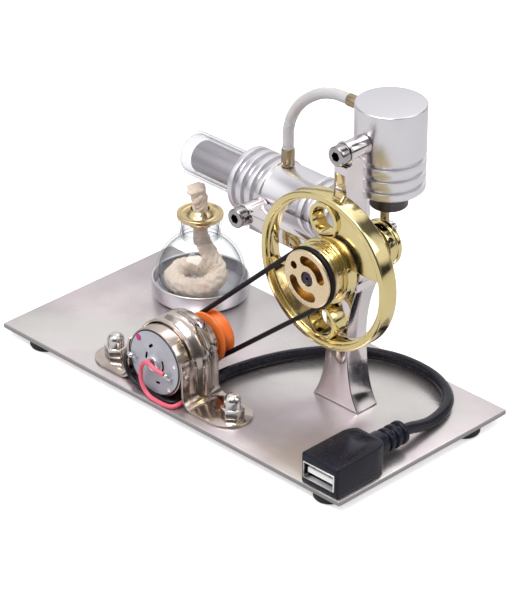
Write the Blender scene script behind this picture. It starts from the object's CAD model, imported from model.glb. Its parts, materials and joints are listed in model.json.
"""Looks for the desk-top hot-air engine with its belt-driven generator, outlet lead and spirit lamp.

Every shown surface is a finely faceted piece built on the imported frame's own dimensions, and each piece rides on the CAD body of the node it stands for.
Lengths are in millimetres, heights are above the plate's top face, and S and ZP turn both into the frame's metres.
"""

import json
import math

import bmesh
import bpy
from mathutils import Matrix, Vector, noise


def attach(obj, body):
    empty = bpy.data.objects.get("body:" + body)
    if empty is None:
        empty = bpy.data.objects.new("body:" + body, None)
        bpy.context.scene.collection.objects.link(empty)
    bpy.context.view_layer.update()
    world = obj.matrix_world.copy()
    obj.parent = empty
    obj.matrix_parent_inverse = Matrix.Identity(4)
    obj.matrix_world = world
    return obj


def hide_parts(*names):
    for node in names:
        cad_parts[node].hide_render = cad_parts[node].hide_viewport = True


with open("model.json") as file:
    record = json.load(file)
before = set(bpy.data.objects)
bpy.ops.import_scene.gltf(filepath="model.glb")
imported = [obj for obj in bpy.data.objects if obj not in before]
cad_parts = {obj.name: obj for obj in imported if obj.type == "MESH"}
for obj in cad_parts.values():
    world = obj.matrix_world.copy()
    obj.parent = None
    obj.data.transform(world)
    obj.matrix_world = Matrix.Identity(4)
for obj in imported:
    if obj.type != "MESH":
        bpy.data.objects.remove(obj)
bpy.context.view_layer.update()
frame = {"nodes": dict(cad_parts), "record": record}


record = frame["record"]
BODY = {n: b for b, ns in record["behaviour"]["bodies"].items() for n in ns}

S = 0.001
PLATE_T, FOOT_H = 2.0, 3.0
ZP = FOOT_H + PLATE_T
FINE = 4  # facets here for each facet of the CAD solid
PIECES = {}  # node name: its fine object
HELPERS = []


# ---------------------------------------------------------------- shape builders
def soft(outline, r=0.14, n=2, turn=24.0):
    """Rounds each corner of a closed outline that turns by more than the given angle, so that edges catch the light."""
    out = []
    count = len(outline)
    for i, p in enumerate(outline):
        a, b = Vector(outline[i - 1]), Vector(outline[(i + 1) % count])
        p = Vector(p)
        if p.x < 1e-6:
            out.append(tuple(p))
            continue
        u, v = a - p, b - p
        lu, lv = u.length, v.length
        if lu < 1e-6 or lv < 1e-6:
            out.append(tuple(p))
            continue
        cosine = max(-1.0, min(1.0, u.dot(v) / (lu * lv)))
        if 180.0 - math.degrees(math.acos(cosine)) < turn:
            out.append(tuple(p))
            continue
        cut = min(r, 0.38 * lu, 0.38 * lv)
        s, e = p + u / lu * cut, p + v / lv * cut
        for k in range(n + 1):
            t = k / n
            q = s * (1 - t) ** 2 + p * 2 * t * (1 - t) + e * t * t
            out.append((q.x, q.y))
    return out


def shade(mesh, angle=36.0):
    mesh.shade_smooth()
    mesh.set_sharp_from_angle(angle=math.radians(angle))


def add(name, bm, mat, helper=False, smooth=36.0):
    """Closes off a bmesh as one named object with outward faces; a helper only cuts or joins."""
    bmesh.ops.remove_doubles(bm, verts=bm.verts, dist=1e-8)
    bmesh.ops.recalc_face_normals(bm, faces=bm.faces)
    mesh = bpy.data.meshes.new("m_" + name)
    bm.to_mesh(mesh)
    bm.free()
    shade(mesh, smooth)
    obj = bpy.data.objects.new(("h_" if helper else "f_") + name, mesh)
    bpy.context.scene.collection.objects.link(obj)
    if mat:
        mesh.materials.append(mat)
    if helper:
        obj.hide_render = True
        HELPERS.append(obj)
    else:
        PIECES[name] = obj
    obj["smooth"] = smooth
    return obj


def place(axis, origin, r, a, h):
    c, s = r * math.cos(a), r * math.sin(a)
    x, y, z = {"X": (h, c, s), "Y": (c, h, s), "Z": (c, s, h)}[axis]
    return Vector(((origin[0] + x) * S, (origin[1] + y) * S, (origin[2] + ZP + z) * S))


def lathe(name, profile, axis, origin, seg, mat, a0=0.0, a1=360.0, helper=False, r=0.14):
    """Turns a closed outline of (radius, height) points about an axis. Its UV map holds (millimetres along the outline, millimetres round)."""
    seg *= FINE
    if r and not name.startswith("cut_"):
        profile = soft(profile, r)
    bm = bmesh.new()
    uv = bm.loops.layers.uv.new("UVMap")
    full = a1 - a0 >= 359.999
    steps = seg if full else max(3, int(seg * (a1 - a0) / 360.0))
    rings = []
    for k in range(steps if full else steps + 1):
        a = math.radians(a0 + (a1 - a0) * k / steps)
        rings.append([bm.verts.new(place(axis, origin, q, a, h)) for q, h in profile])
    n = len(profile)
    along = [0.0]
    for i in range(n):
        p, q = profile[i], profile[(i + 1) % n]
        along.append(along[-1] + math.hypot(p[0] - q[0], p[1] - q[1]))
    widest = max(p[0] for p in profile)

    def face(verts, coords):
        f = bm.faces.new(verts)
        for loop, c in zip(f.loops, coords):
            loop[uv].uv = c

    for k in range(steps):
        ring_, after = rings[k], rings[(k + 1) % len(rings)]
        v0 = widest * math.radians((a1 - a0) * k / steps)
        v1 = widest * math.radians((a1 - a0) * (k + 1) / steps)
        for i in range(n):
            j = (i + 1) % n
            s0, s1 = along[i], along[i + 1]
            if profile[i][0] < 1e-9 and profile[j][0] < 1e-9:
                continue
            if profile[i][0] < 1e-9:
                face((ring_[i], ring_[j], after[j]), ((s0, v0), (s1, v0), (s1, v1)))
            elif profile[j][0] < 1e-9:
                face((ring_[i], ring_[j], after[i]), ((s0, v0), (s1, v0), (s0, v1)))
            else:
                face((ring_[i], ring_[j], after[j], after[i]), ((s0, v0), (s1, v0), (s1, v1), (s0, v1)))
    if not full:
        bm.faces.new(rings[0])
        bm.faces.new(rings[-1])
    return add(name, bm, mat, helper)


def rod(name, r, h0, h1, axis, origin, seg, mat, chamfer=0.0, helper=False):
    if name.startswith("cut_"):
        r /= math.cos(math.pi / (seg * FINE))
    c = chamfer
    if c:
        outline = [(0, h0), (r - c, h0), (r, h0 + c), (r, h1 - c), (r - c, h1), (0, h1)]
    else:
        outline = [(0, h0), (r, h0), (r, h1), (0, h1)]
    return lathe(name, outline, axis, origin, seg, mat, helper=helper)


def ring(name, r0, r1, h0, h1, axis, origin, seg, mat, chamfer=0.0, helper=False):
    c = chamfer
    if c:
        outline = [(r0, h0), (r1 - c, h0), (r1, h0 + c), (r1, h1 - c), (r1 - c, h1), (r0, h1)]
    else:
        outline = [(r0, h0), (r1, h0), (r1, h1), (r0, h1)]
    return lathe(name, outline, axis, origin, seg, mat, helper=helper)


def prism(name, points, axis, h0, h1, mat, helper=False, smooth=36.0):
    bm = bmesh.new()

    def at(p, h):
        x, y, z = {"Y": (p[0], h, p[1]), "Z": (p[0], p[1], h), "X": (h, p[0], p[1])}[axis]
        return Vector((x * S, y * S, (z + ZP) * S))

    low = [bm.verts.new(at(p, h0)) for p in points]
    high = [bm.verts.new(at(p, h1)) for p in points]
    bm.faces.new(low)
    bm.faces.new(high)
    n = len(points)
    for i in range(n):
        bm.faces.new((low[i], low[(i + 1) % n], high[(i + 1) % n], high[i]))
    return add(name, bm, mat, helper, smooth)


def box(name, x0, x1, y0, y1, z0, z1, mat, helper=False):
    return prism(name, [(x0, y0), (x1, y0), (x1, y1), (x0, y1)], "Z", z0, z1, mat, helper)


def arc(cx, cy, r, d0, d1, n):
    """Points along a circular arc, in degrees, both ends included."""
    n *= FINE
    return [
        (cx + r * math.cos(math.radians(d0 + (d1 - d0) * i / n)), cy + r * math.sin(math.radians(d0 + (d1 - d0) * i / n)))
        for i in range(n + 1)
    ]


def polygon(cx, cy, r, start, sides):
    return [(cx + r * math.cos(math.radians(start + 360 * i / sides)), cy + r * math.sin(math.radians(start + 360 * i / sides))) for i in range(sides)]


def spline(points, per):
    """Catmull-Rom points through the given ones, which may carry extra numbers past x, y, z."""
    out = []
    size = len(points[0])
    for i in range(len(points) - 1):
        p0, p1, p2, p3 = points[max(i - 1, 0)], points[i], points[i + 1], points[min(i + 2, len(points) - 1)]
        for k in range(per):
            t = k / per
            out.append(
                tuple(
                    0.5 * ((2 * p1[c]) + (p2[c] - p0[c]) * t + (2 * p0[c] - 5 * p1[c] + 4 * p2[c] - p3[c]) * t * t + (3 * p1[c] - p0[c] - 3 * p2[c] + p3[c]) * t**3)
                    for c in range(size)
                )
            )
    out.append(tuple(points[-1]))
    return out


def transport(pts, closed=False):
    """Tangent and two side directions at each path point, with no sudden turn between neighbours."""
    n = len(pts)
    tangents = []
    for i in range(n):
        a = pts[(i - 1) % n] if closed or i else pts[i]
        b = pts[(i + 1) % n] if closed or i < n - 1 else pts[i]
        tangents.append((b - a).normalized())
    side = tangents[0].cross(Vector((0.0, 0.0, 1.0)))
    if side.length < 0.1:
        side = tangents[0].cross(Vector((0.0, 1.0, 0.0)))
    side.normalize()
    frames = []
    for t in tangents:
        side = (side - t * side.dot(t)).normalized()
        frames.append((side.copy(), t.cross(side)))
    return frames


def sweep(name, path, r, seg, mat, inner=0.0, closed=False, helper=False, radius=None, round_ends=0.0):
    """Round section along a path in mm. radius(i, angle) may give the section's own shape in place of a circle."""
    seg *= 3
    pts = [Vector(p[:3]) for p in path]
    n = len(pts)
    frames = transport(pts, closed)
    bm = bmesh.new()
    uv = bm.loops.layers.uv.new("UVMap")
    along = [0.0]
    for i in range(n):
        along.append(along[-1] + (pts[(i + 1) % n] - pts[i]).length)
    shells = []
    for shell in range(2 if inner else 1):
        loops = []
        for i, (p, (u, v)) in enumerate(zip(pts, frames)):
            ring_ = []
            for k in range(seg):
                a = 2 * math.pi * k / seg
                rr = inner if shell else (radius(i, a) if radius else r)
                ring_.append(bm.verts.new((p + u * rr * math.cos(a) + v * rr * math.sin(a) + Vector((0, 0, ZP))) * S))
            loops.append(ring_)
        for i in range(n if closed else n - 1):
            l0, l1 = loops[i], loops[(i + 1) % n]
            for k in range(seg):
                f = bm.faces.new((l0[k], l0[(k + 1) % seg], l1[(k + 1) % seg], l1[k]))
                w0, w1 = 2 * math.pi * r * k / seg, 2 * math.pi * r * (k + 1) / seg
                for loop, c in zip(f.loops, ((along[i], w0), (along[i], w1), (along[i + 1], w1), (along[i + 1], w0))):
                    loop[uv].uv = c
        shells.append(loops)
    if not closed:
        for end in (0, -1):
            if inner:
                a, b = shells[0][end], shells[1][end]
                for k in range(seg):
                    bm.faces.new((a[k], a[(k + 1) % seg], b[(k + 1) % seg], b[k]))
            elif round_ends:
                # A shrinking stack of rings closes the end as a dome.
                p = pts[end]
                t = (pts[0] - pts[1]).normalized() if end == 0 else (pts[-1] - pts[-2]).normalized()
                last = shells[0][end]
                centre = (p + Vector((0, 0, ZP))) * S
                for step in (0.45, 0.75, 0.93):
                    shrink = math.sqrt(max(0.0, 1 - step * step))
                    nxt = [bm.verts.new(centre + (w.co - centre) * shrink + t * (round_ends * step * S)) for w in shells[0][end]]
                    for k in range(seg):
                        bm.faces.new((last[k], last[(k + 1) % seg], nxt[(k + 1) % seg], nxt[k]))
                    last = nxt
                bm.faces.new(last)
            else:
                bm.faces.new(shells[0][end])
    return add(name, bm, mat, helper, smooth=55.0)


def boolean(obj, other, how="DIFFERENCE", paint=None):
    """Queues a Boolean; with paint, the faces that the second shape leaves behind take that material."""
    if other not in HELPERS:
        HELPERS.append(other)
        other.hide_render = True
    m = obj.modifiers.new(other.name, "BOOLEAN")
    m.operation = how
    m.solver = "EXACT"
    m.object = other
    if paint:
        other.data.materials.clear()
        other.data.materials.append(paint)
        m.material_mode = "TRANSFER"
    return obj


def ellipsoid(name, at, size, seg=48):
    """Plain egg shape used as a cutter."""
    bm = bmesh.new()
    bmesh.ops.create_uvsphere(bm, u_segments=seg, v_segments=seg // 2, radius=1.0)
    for v in bm.verts:
        v.co = Vector(((at[0] + v.co.x * size[0]) * S, (at[1] + v.co.y * size[1]) * S, (at[2] + ZP + v.co.z * size[2]) * S))
    return add(name, bm, None, True)


def bevel(obj, width, segments=2, angle=50.0):
    """Rounds the sharp edges of a simple solid by real geometry."""
    m = obj.modifiers.new("bevel", "BEVEL")
    m.width = width * S
    m.segments = segments
    m.limit_method = "ANGLE"
    m.angle_limit = math.radians(angle)
    m.use_clamp_overlap = False
    m.harden_normals = False
    return obj


# ---------------------------------------------------------------- materials, all made of nodes
class Nodes:
    """Small helper that wires a material's node tree."""

    def __init__(self, name):
        self.mat = bpy.data.materials.new(name)
        self.mat.use_nodes = True
        self.tree = self.mat.node_tree
        self.bsdf = self.tree.nodes["Principled BSDF"]
        self.out = self.tree.nodes["Material Output"]
        self.coord = self.new("ShaderNodeTexCoord").outputs["Object"]

    def new(self, kind, **props):
        node = self.tree.nodes.new(kind)
        for k, v in props.items():
            setattr(node, k, v)
        return node

    def link(self, a, b):
        self.tree.links.new(a, b)

    def mapped(self, scale, source=None, location=(0, 0, 0)):
        m = self.new("ShaderNodeMapping")
        m.inputs["Scale"].default_value = scale
        m.inputs["Location"].default_value = location
        self.link(source or self.coord, m.inputs["Vector"])
        return m.outputs["Vector"]

    def noise(self, scale, detail=3.0, rough=0.55, source=None, stretch=(1, 1, 1), location=(0, 0, 0)):
        n = self.new("ShaderNodeTexNoise")
        n.inputs["Scale"].default_value = scale
        n.inputs["Detail"].default_value = detail
        n.inputs["Roughness"].default_value = rough
        self.link(self.mapped(stretch, source, location), n.inputs["Vector"])
        return n.outputs["Fac"]

    def remap(self, fac, low, high, a=0.3, b=0.7):
        r = self.new("ShaderNodeMapRange")
        r.inputs["From Min"].default_value = a
        r.inputs["From Max"].default_value = b
        r.inputs["To Min"].default_value = low
        r.inputs["To Max"].default_value = high
        self.link(fac, r.inputs["Value"])
        return r.outputs["Result"]

    def mix(self, fac, a, b, blend="MIX"):
        m = self.new("ShaderNodeMix", data_type="RGBA", blend_type=blend)
        for socket, value in ((m.inputs[0], fac), (m.inputs[6], a), (m.inputs[7], b)):
            if isinstance(value, (int, float)):
                socket.default_value = value
            elif isinstance(value, tuple):
                socket.default_value = (*value[:3], 1.0)
            else:
                self.link(value, socket)
        return m.outputs[2]

    def math(self, op, a, b=0.0):
        m = self.new("ShaderNodeMath", operation=op)
        for socket, value in ((m.inputs[0], a), (m.inputs[1], b)):
            if isinstance(value, (int, float)):
                socket.default_value = value
            else:
                self.link(value, socket)
        return m.outputs[0]

    def add_bump(self, height, strength, distance, normal=None):
        b = self.new("ShaderNodeBump")
        b.inputs["Strength"].default_value = strength
        b.inputs["Distance"].default_value = distance
        self.link(height, b.inputs["Height"])
        if normal:
            self.link(normal, b.inputs["Normal"])
        return b.outputs["Normal"]

    def edge(self, radius):
        e = self.new("ShaderNodeBevel", samples=4)
        e.inputs["Radius"].default_value = radius
        return e.outputs["Normal"]

    def wear(self, radius=0.0006):
        """1 along convex edges, where a finish rubs bright."""
        g = self.new("ShaderNodeNewGeometry")
        return self.remap(g.outputs["Pointiness"], 0.0, 1.0, 0.52, 0.60)

    def set(self, name, value):
        socket = self.bsdf.inputs[name]
        if isinstance(value, (int, float)):
            socket.default_value = value
        elif isinstance(value, tuple):
            socket.default_value = (*value[:3], 1.0)
        else:
            self.link(value, socket)


def metal(name, color, dark, rough, rough_var=0.06, cloud=90.0, scratch=0.0, turned=0.0, edge_r=0.00012, grain=0.0, grain_dir=(1, 1, 1), glow=0.0):
    """Metal with cloudy colour, uneven polish, fine scratches, and turning or brushing marks."""
    n = Nodes(name)
    clouds = n.noise(cloud, 3.0)
    n.set("Base Color", n.mix(n.remap(clouds, 0.0, 1.0), color, dark))
    n.set("Metallic", 1.0)
    if glow:
        n.set("Emission Color", color)
        n.set("Emission Strength", glow)
    fine = n.noise(cloud * 9, 2.0, location=(3.1, 1.7, 0.4))
    n.set("Roughness", n.remap(n.math("ADD", n.math("MULTIPLY", clouds, 0.5), n.math("MULTIPLY", fine, 0.5)), max(0.01, rough - rough_var), rough + rough_var))
    normal = n.edge(edge_r) if edge_r else None
    if turned:
        uv = n.new("ShaderNodeUVMap").outputs["UV"]
        marks = n.noise(1.0, 3.0, 0.7, source=uv, stretch=(9.0, 0.035, 1.0))
        normal = n.add_bump(marks, turned, 0.00002, normal)
    if grain:
        lines = n.noise(1.0, 4.0, 0.75, stretch=grain_dir)
        normal = n.add_bump(lines, grain, 0.00002, normal)
    if scratch:
        s = n.new("ShaderNodeTexVoronoi", feature="DISTANCE_TO_EDGE")
        s.inputs["Scale"].default_value = 260.0
        n.link(n.mapped((1.0, 0.16, 0.5)), s.inputs["Vector"])
        lines = n.remap(s.outputs["Distance"], 0.0, 1.0, 0.0, 0.03)
        normal = n.add_bump(lines, scratch, 0.00001, normal)
    if normal:
        n.set("Normal", normal)
    return n.mat


def plastic(name, color, dark, rough, bump=0.15, scale=1400.0, coat=0.0, sheen=0.0, spec=0.5, edge_r=0.0002, cloud=120.0, glow=0.0):
    """Moulded plastic or rubber: faint colour clouds, fine moulded grain, rounded edges."""
    n = Nodes(name)
    clouds = n.noise(cloud, 3.0)
    n.set("Base Color", n.mix(n.remap(clouds, 0.0, 1.0), color, dark))
    grain = n.noise(scale, 3.0, 0.6)
    n.set("Roughness", n.remap(grain, rough - 0.06, rough + 0.06))
    n.set("Specular IOR Level", spec)
    n.set("Coat Weight", coat)
    n.set("Coat Roughness", 0.2)
    n.set("Sheen Weight", sheen)
    if glow:
        n.set("Emission Color", color)
        n.set("Emission Strength", glow)
    n.set("Normal", n.add_bump(grain, bump, 0.00003, n.edge(edge_r)))
    return n.mat


def clear(name, tint, edge_tint, rough, frost=0.0):
    """Thin clear glass: see-through, darker where the wall is seen edge on, mirror-like by Fresnel, faintly uneven."""
    n = Nodes(name)
    facing = n.new("ShaderNodeLayerWeight")
    facing.inputs["Blend"].default_value = 0.5
    ripple = n.noise(38.0, 2.0, 0.5, location=(0.7, 2.0, 1.1))
    smudge = n.noise(70.0, 4.0, 0.6)
    normal = n.add_bump(ripple, 0.05, 0.0004)
    n.link(normal, facing.inputs["Normal"])
    grazing = n.math("POWER", facing.outputs["Facing"], 3.0)
    through = n.new("ShaderNodeBsdfTransparent")
    n.link(n.mix(grazing, tint, edge_tint), through.inputs["Color"])
    gloss = n.new("ShaderNodeBsdfGlossy")
    gloss.inputs["Color"].default_value = (1.0, 1.0, 1.0, 1.0)
    n.link(n.remap(smudge, rough, rough + 0.06, 0.45, 0.75), gloss.inputs["Roughness"])
    n.link(normal, gloss.inputs["Normal"])
    front = n.math("SUBTRACT", 1.0, n.new("ShaderNodeNewGeometry").outputs["Backfacing"])
    schlick = n.math("ADD", n.math("MULTIPLY", n.math("POWER", facing.outputs["Facing"], 4.0), 0.85), 0.045)
    m = n.new("ShaderNodeMixShader")
    n.link(n.math("MULTIPLY", schlick, front), m.inputs[0])
    n.link(through.outputs[0], m.inputs[1])
    n.link(gloss.outputs[0], m.inputs[2])
    haze = n.new("ShaderNodeBsdfTranslucent")
    haze.inputs["Color"].default_value = (0.85, 0.86, 0.88, 1.0)
    m2 = n.new("ShaderNodeMixShader")
    if frost:
        x = n.new("ShaderNodeSeparateXYZ")
        n.link(n.coord, x.inputs[0])
        n.link(n.math("MULTIPLY", n.remap(smudge, 0.7, 1.0, 0.3, 0.7), n.remap(x.outputs["X"], frost, 0.04, -0.0655, -0.056)), m2.inputs[0])
    else:
        m2.inputs[0].default_value = 0.0
    n.link(m.outputs[0], m2.inputs[1])
    n.link(haze.outputs[0], m2.inputs[2])
    n.link(m2.outputs[0], n.out.inputs["Surface"])
    n.set("Base Color", tint)
    n.set("Roughness", rough)
    return n.mat


def milky(name, color, clear_share):
    """Translucent silicone: part clear, part soft white."""
    n = Nodes(name)
    clouds = n.noise(160.0, 3.0)
    n.set("Base Color", n.mix(n.remap(clouds, 0.0, 1.0), color, tuple(c * 0.93 for c in color)))
    n.set("Roughness", n.remap(clouds, 0.26, 0.38))
    n.set("IOR", 1.41)
    n.set("Transmission Weight", 0.35)
    n.set("Subsurface Weight", 0.35)
    n.set("Subsurface Scale", 0.0015)
    n.set("Normal", n.add_bump(n.noise(900.0, 2.0), 0.08, 0.00003))
    through = n.new("ShaderNodeBsdfTransparent")
    m = n.new("ShaderNodeMixShader")
    fres = n.new("ShaderNodeLayerWeight")
    fres.inputs["Blend"].default_value = 0.42
    n.link(n.remap(fres.outputs["Facing"], 1.0 - clear_share, 1.0, 0.0, 0.85), m.inputs[0])
    n.link(through.outputs[0], m.inputs[1])
    n.link(n.bsdf.outputs[0], m.inputs[2])
    n.link(m.outputs[0], n.out.inputs["Surface"])
    return n.mat


def cotton(name, color, dark):
    """Undyed cotton: yarn lines along the lay, fuzz and shade in the valleys."""
    n = Nodes(name)
    uv = n.new("ShaderNodeUVMap").outputs["UV"]
    fibre = n.noise(1.0, 4.0, 0.7, source=uv, stretch=(1.2, 7.0, 1.0))
    fuzz = n.noise(1500.0, 3.0, 0.7)
    tone = n.math("ADD", n.math("MULTIPLY", fibre, 0.6), n.math("MULTIPLY", fuzz, 0.4))
    n.set("Base Color", n.mix(n.remap(tone, 0.0, 1.0, 0.35, 0.65), dark, color))
    n.set("Roughness", 0.95)
    n.set("Specular IOR Level", 0.2)
    n.set("Sheen Weight", 0.35)
    n.set("Emission Color", color)
    n.set("Emission Strength", 0.05)
    n.set("Sheen Roughness", 0.5)
    n.set("Subsurface Weight", 0.15)
    n.set("Subsurface Scale", 0.001)
    n.set("Normal", n.add_bump(tone, 0.9, 0.00012))
    return n.mat


def shade_inside(mat, mouth, floor):
    """Darkens what lies behind an opening that faces -Y, except the strip just above its floor."""
    nodes, links = mat.node_tree.nodes, mat.node_tree.links
    n = nodes.get("Principled BSDF") or next(x for x in nodes if x.type == "BSDF_PRINCIPLED")
    place = nodes.new("ShaderNodeNewGeometry")
    split = nodes.new("ShaderNodeSeparateXYZ")
    links.new(place.outputs["Position"], split.inputs[0])
    deep = nodes.new("ShaderNodeMapRange")
    deep.inputs["From Min"].default_value = mouth * S
    deep.inputs["From Max"].default_value = (mouth + 0.5) * S
    links.new(split.outputs["Y"], deep.inputs["Value"])
    lip = nodes.new("ShaderNodeMapRange")
    lip.inputs["From Min"].default_value = (mouth + 1.6) * S
    lip.inputs["From Max"].default_value = (mouth + 2.0) * S
    links.new(split.outputs["Y"], lip.inputs["Value"])
    above = nodes.new("ShaderNodeMapRange")
    above.inputs["From Min"].default_value = (floor + ZP - 0.15) * S
    above.inputs["From Max"].default_value = (floor + ZP + 0.15) * S
    links.new(split.outputs["Z"], above.inputs["Value"])
    wall = nodes.new("ShaderNodeMath")
    wall.operation = "MULTIPLY"
    links.new(deep.outputs["Result"], wall.inputs[0])
    links.new(above.outputs["Result"], wall.inputs[1])
    both = nodes.new("ShaderNodeMath")
    both.operation = "MAXIMUM"
    links.new(wall.outputs[0], both.inputs[0])
    links.new(lip.outputs["Result"], both.inputs[1])
    mix = nodes.new("ShaderNodeMix")
    mix.data_type = "RGBA"
    colours = [k for k in mix.inputs if k.type == "RGBA"]
    links.new(both.outputs[0], mix.inputs[0])
    links.new(n.inputs["Base Color"].links[0].from_socket, colours[0])
    colours[1].default_value = (0.035, 0.035, 0.042, 1.0)
    links.new(next(k for k in mix.outputs if k.type == "RGBA"), n.inputs["Base Color"])


def plate_steel(name):
    """Rolled stainless sheet: pink-grey with pale green clouds, long brush lines, soft uneven polish, darker cut edges."""
    n = Nodes(name)
    big = n.noise(25.0, 3.0, 0.5)
    hue = n.noise(22.0, 2.0, 0.5, location=(4.0, 2.0, 0.0))
    fine = n.noise(60.0, 3.0, 0.6, location=(1.0, 5.0, 0.0))
    base = n.mix(n.remap(big, 0.0, 1.0, 0.38, 0.62), (0.785, 0.70, 0.725), (0.535, 0.475, 0.495))
    base = n.mix(n.remap(hue, 0.0, 0.55, 0.47, 0.66), base, (0.70, 0.725, 0.675))
    base = n.mix(n.remap(fine, 0.0, 0.22, 0.4, 0.7), base, (0.84, 0.78, 0.80))
    side = n.new("ShaderNodeSeparateXYZ")
    n.link(n.new("ShaderNodeNewGeometry").outputs["True Normal"], side.inputs[0])
    flat = n.remap(n.math("ABSOLUTE", side.outputs["Z"]), 0.0, 1.0, 0.3, 0.55)
    base = n.mix(flat, (0.34, 0.325, 0.33), base)
    n.set("Base Color", base)
    n.set("Metallic", 0.84)
    lines = n.noise(1.0, 4.0, 0.7, stretch=(160.0, 5200.0, 5200.0))
    n.set("Roughness", n.remap(n.math("ADD", n.math("MULTIPLY", big, 0.9), n.math("MULTIPLY", lines, 0.1)), 0.22, 0.36, 0.35, 0.65))
    n.set("Normal", n.add_bump(lines, 0.015, 0.00001, n.edge(0.0003)))
    return n.mat


PLATE = plate_steel("plate_steel")
CHROME = metal("nickel_casting", (0.84, 0.785, 0.79), (0.72, 0.66, 0.67), 0.085, 0.035, cloud=70.0, scratch=0.10, edge_r=0.0002)
STEEL = metal("bright_steel", (0.76, 0.74, 0.725), (0.62, 0.60, 0.59), 0.17, 0.06, cloud=120.0, scratch=0.15)
CLAMP = metal("clamp_steel", (0.66, 0.585, 0.545), (0.43, 0.36, 0.32), 0.14, 0.05, cloud=80.0, scratch=0.2, edge_r=0.0002)
SHAFT = metal("shaft_steel", (0.095, 0.078, 0.115), (0.055, 0.045, 0.068), 0.30, 0.06, turned=0.2)
DARK_STEEL = metal("dark_steel", (0.19, 0.185, 0.20), (0.11, 0.108, 0.12), 0.34, 0.08, turned=0.3)
LINER = metal("liner_steel", (0.115, 0.107, 0.107), (0.07, 0.066, 0.066), 0.36, 0.06, turned=0.2)
DISPLACER = metal("displacer_steel", (0.64, 0.60, 0.645), (0.55, 0.51, 0.55), 0.42, 0.05, turned=0.15)
ALU = metal("aluminium", (0.79, 0.775, 0.815), (0.76, 0.745, 0.785), 0.295, 0.015, cloud=40.0, turned=0.10)
GOLD = metal("gold_plate", (0.80, 0.68, 0.36), (0.72, 0.595, 0.285), 0.10, 0.04, cloud=60.0, scratch=0.08, edge_r=0.00018)
POCKET = metal("pocket_gold", (0.46, 0.29, 0.10), (0.30, 0.17, 0.05), 0.33, 0.06)
SCREW = metal("screw_steel", (0.50, 0.475, 0.48), (0.36, 0.34, 0.35), 0.13, 0.05, cloud=120.0, scratch=0.12)
SOCKET = metal("socket_shadow", (0.13, 0.12, 0.13), (0.07, 0.065, 0.07), 0.3, 0.06)
PEACH = metal("brass_face", (0.88, 0.725, 0.50), (0.80, 0.635, 0.41), 0.28, 0.03, turned=0.08)
BRASS = metal("brass", (0.50, 0.40, 0.27), (0.36, 0.28, 0.185), 0.28, 0.07, turned=0.2)
CAP_BRASS = metal("lamp_brass", (0.74, 0.60, 0.35), (0.62, 0.49, 0.275), 0.24, 0.04, turned=0.1)
COPPER = metal("copper_winding", (0.55, 0.25, 0.12), (0.42, 0.17, 0.08), 0.35, 0.08)
SOLDER = metal("solder", (0.80, 0.80, 0.80), (0.66, 0.66, 0.67), 0.20, 0.08, cloud=600.0)
RUBBER = plastic("black_rubber", (0.021, 0.019, 0.021), (0.012, 0.011, 0.012), 0.55, 0.3, spec=0.35)
BELT_RUBBER = plastic("belt_rubber", (0.009, 0.007, 0.011), (0.006, 0.005, 0.0075), 0.5, 0.2, spec=0.22)
CABLE = plastic("black_pvc", (0.010, 0.0098, 0.019), (0.0065, 0.0065, 0.013), 0.25, 0.1, spec=0.32)
OVERMOULD = plastic("black_overmould", (0.0075, 0.0082, 0.020), (0.005, 0.0055, 0.0135), 0.30, 0.16, spec=0.27, edge_r=0.0006)
WHITE = plastic("white_plastic", (0.90, 0.90, 0.905), (0.84, 0.84, 0.845), 0.35, 0.1, glow=0.12)
SHELL = metal("socket_shell", (0.93, 0.925, 0.93), (0.84, 0.835, 0.84), 0.32, 0.05)
shade_inside(SHELL, -40.3, 3.35)
ORANGE = plastic("orange_plastic", (1.0, 0.245, 0.05), (0.95, 0.20, 0.035), 0.33, 0.08, coat=0.15)
RED = plastic("red_wire", (0.86, 0.16, 0.235), (0.78, 0.115, 0.18), 0.36, 0.08)
BLACK_WIRE = plastic("black_wire", (0.012, 0.0125, 0.0165), (0.008, 0.008, 0.011), 0.36, 0.08, spec=0.35)
GREY = plastic("motor_end_grey", (0.50, 0.505, 0.57), (0.40, 0.405, 0.46), 0.36, 0.12, cloud=170.0)
DOT = plastic("magenta_paint", (0.62, 0.02, 0.22), (0.50, 0.012, 0.16), 0.35, 0.05, cloud=600.0)
DIMPLE = plastic("dimple_white", (0.88, 0.89, 0.90), (0.80, 0.81, 0.82), 0.35, 0.05)
BOSS_WHITE = metal("boss_bright", (0.93, 0.95, 0.95), (0.84, 0.88, 0.88), 0.35, 0.05)
SLOTBLACK = plastic("slot_shadow", (0.006, 0.006, 0.008), (0.004, 0.004, 0.005), 0.6, 0.05)
GLASS = clear("glass", (0.968, 0.971, 0.973), (0.42, 0.435, 0.455), 0.0)
HOT_GLASS = clear("hot_glass", (0.925, 0.928, 0.935), (0.34, 0.345, 0.365), 0.02, 0.16)
NECK_GLASS = clear("neck_glass", (0.90, 0.905, 0.915), (0.05, 0.052, 0.065), 0.0)
SILICONE = milky("silicone_hose", (0.80, 0.795, 0.80), 0.16)
COTTON = cotton("cotton_wick", (0.90, 0.785, 0.68), (0.66, 0.53, 0.43))


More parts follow.
